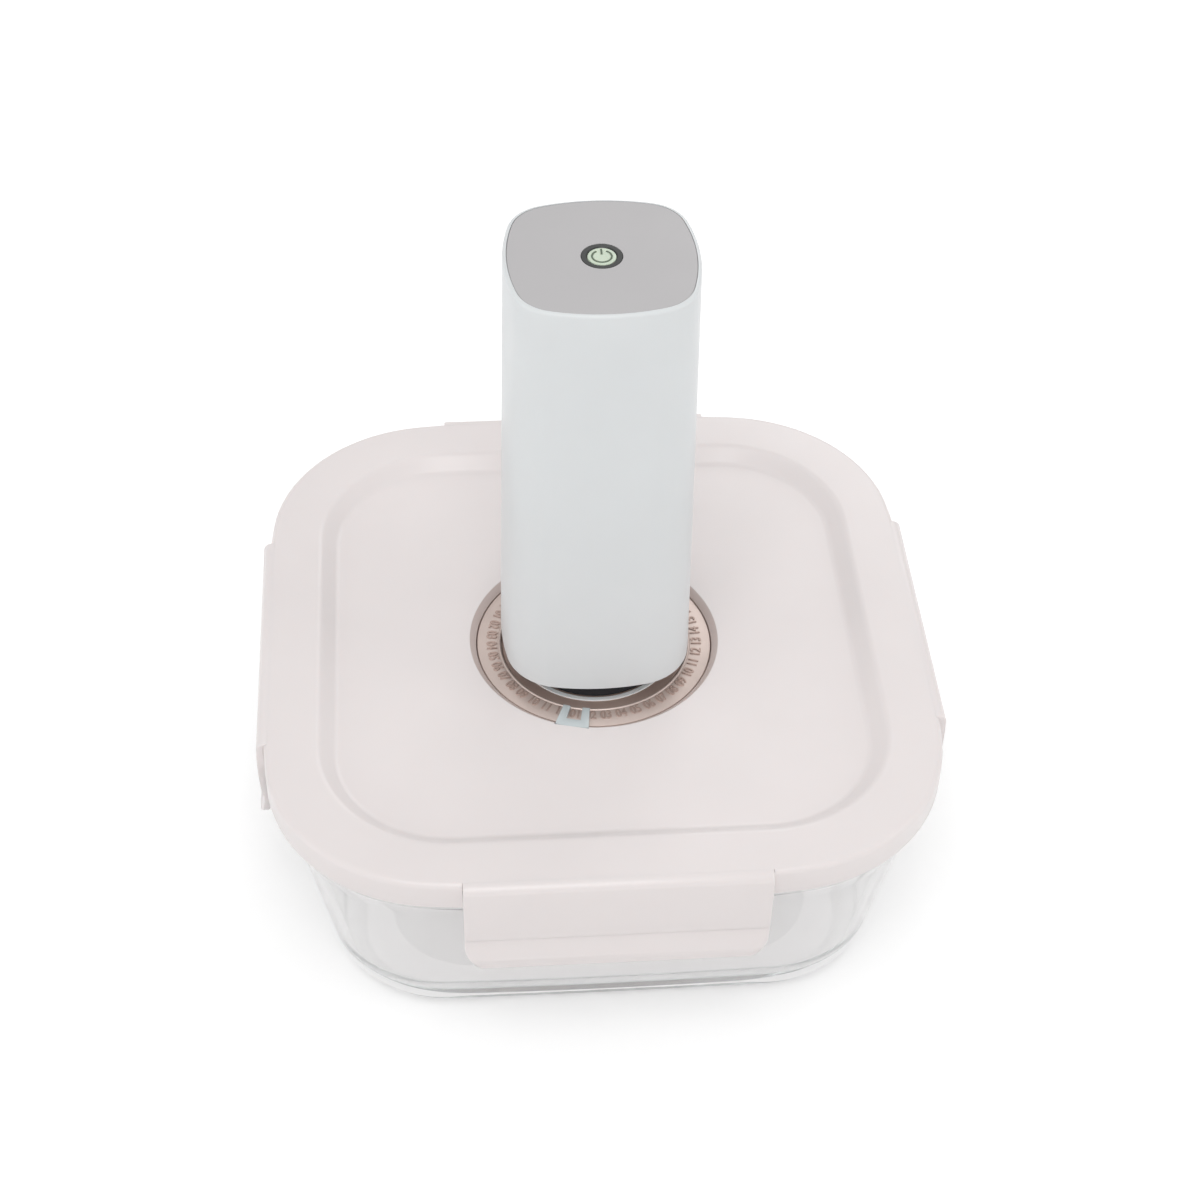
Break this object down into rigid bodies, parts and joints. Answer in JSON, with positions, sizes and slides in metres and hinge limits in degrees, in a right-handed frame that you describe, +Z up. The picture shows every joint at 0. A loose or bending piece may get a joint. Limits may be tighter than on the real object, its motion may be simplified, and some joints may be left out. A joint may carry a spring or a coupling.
{
  "type": "vacuum food canister with hand-held pump",
  "caption": "Square glass food dish with a latched plastic lid, a date dial and a vacuum valve, and an electric pump that stands on the lid and draws the air out.",
  "frame": {"origin": "middle of the dish's foot, on the surface that it stands on", "axes": "+Z up through the middle of the dish, the lid and the pump; -Y towards the front of the picture; +X to the right"},
  "size_m": [0.183, 0.183, 0.1932],
  "materials": {
    "clear_glass": "polished",
    "lid_plastic": "semi-gloss",
    "seal_silicone": "matt",
    "rose_gold": "metallic satin",
    "marker_plastic": "gloss",
    "pump_white": "satin",
    "panel_grey": "satin",
    "button_green": "satin",
    "dark_plastic": "satin",
    "black_rubber": "matt",
    "cover_plastic": "satin",
    "frame_plastic": "matt",
    "tube_silicone": "matt",
    "light_guide": "frosted",
    "motor_steel": "brushed",
    "magnet_ferrite": "matt",
    "battery_wrap": "gloss",
    "contact_metal": "bright",
    "board_laminate": "satin",
    "screw_steel": "bright"
  },
  "bodies": {
    "dish": {"glass_dish": "clear_glass"},
    "lid": {"lid_shell": "lid_plastic", "lid_seal": "seal_silicone", "date_marker": "marker_plastic", "valve_plate": "rose_gold", "valve_seat_ring": "seal_silicone"},
    "latch_front": {"latch_front": "lid_plastic"},
    "latch_back": {"latch_back": "lid_plastic"},
    "latch_left": {"latch_left": "lid_plastic"},
    "latch_right": {"latch_right": "lid_plastic"},
    "dial": {"date_dial": "rose_gold"},
    "valve": {"valve_plug": "seal_silicone"},
    "pump": {"pump_housing": "pump_white", "top_panel": "panel_grey", "button_bezel": "dark_plastic", "suction_gasket": "black_rubber", "bottom_cover": "cover_plastic", "inner_frame": "frame_plastic", "pump_head": "frame_plastic", "intake_tube": "tube_silicone", "diaphragm": "black_rubber", "drive_plate": "frame_plastic", "crank_housing": "frame_plastic", "motor_can": "motor_steel", "motor_magnets": "magnet_ferrite", "motor_end_cap": "dark_plastic", "battery_cell": "battery_wrap", "battery_contacts": "contact_metal", "circuit_board": "board_laminate", "tact_switch": "dark_plastic", "light_ring": "light_guide", "charge_socket": "contact_metal", "cover_screws": "screw_steel", "housing_screws": "screw_steel", "board_screws": "screw_steel", "pump_screws": "screw_steel", "motor_screws": "screw_steel"},
    "button": {"power_button": "button_green", "switch_plunger": "dark_plastic"},
    "rotor": {"motor_rotor": "motor_steel"}
  },
  "joints": [
    {"name": "lid_lift", "type": "slide", "parent": "dish", "child": "lid", "axis": [0, 0, 1], "range_m": [0, 0.1]},
    {"name": "latch_front_swing", "type": "hinge", "parent": "lid", "child": "latch_front", "pos_m": [0, -0.0875, 0.07], "axis": [-1, 0, 0], "range_deg": [0, 120]},
    {"name": "latch_back_swing", "type": "hinge", "parent": "lid", "child": "latch_back", "pos_m": [0, 0.0875, 0.07], "axis": [1, 0, 0], "range_deg": [0, 120]},
    {"name": "latch_left_swing", "type": "hinge", "parent": "lid", "child": "latch_left", "pos_m": [-0.0875, 0, 0.07], "axis": [0, 1, 0], "range_deg": [0, 120]},
    {"name": "latch_right_swing", "type": "hinge", "parent": "lid", "child": "latch_right", "pos_m": [0.0875, 0, 0.07], "axis": [0, -1, 0], "range_deg": [0, 120]},
    {"name": "dial_turn", "type": "hinge", "parent": "lid", "child": "dial", "pos_m": [0, 0, 0.063], "axis": [0, 0, 1], "continuous": true},
    {"name": "valve_lift", "type": "slide", "parent": "lid", "child": "valve", "axis": [0, 0, 1], "range_m": [0, 0.0014]},
    {"name": "pump_lift", "type": "slide", "parent": "lid", "child": "pump", "axis": [0, 0, 1], "range_m": [0, 0.08]},
    {"name": "button_press", "type": "slide", "parent": "pump", "child": "button", "axis": [0, 0, -1], "range_m": [0, 0.0008], "stiffness_N_per_m": 300, "springref_m": -0.0005},
    {"name": "motor_spin", "type": "hinge", "parent": "pump", "child": "rotor", "pos_m": [-0.0075, -0.0075, 0.12], "axis": [0, 0, 1], "continuous": true}
  ]
}
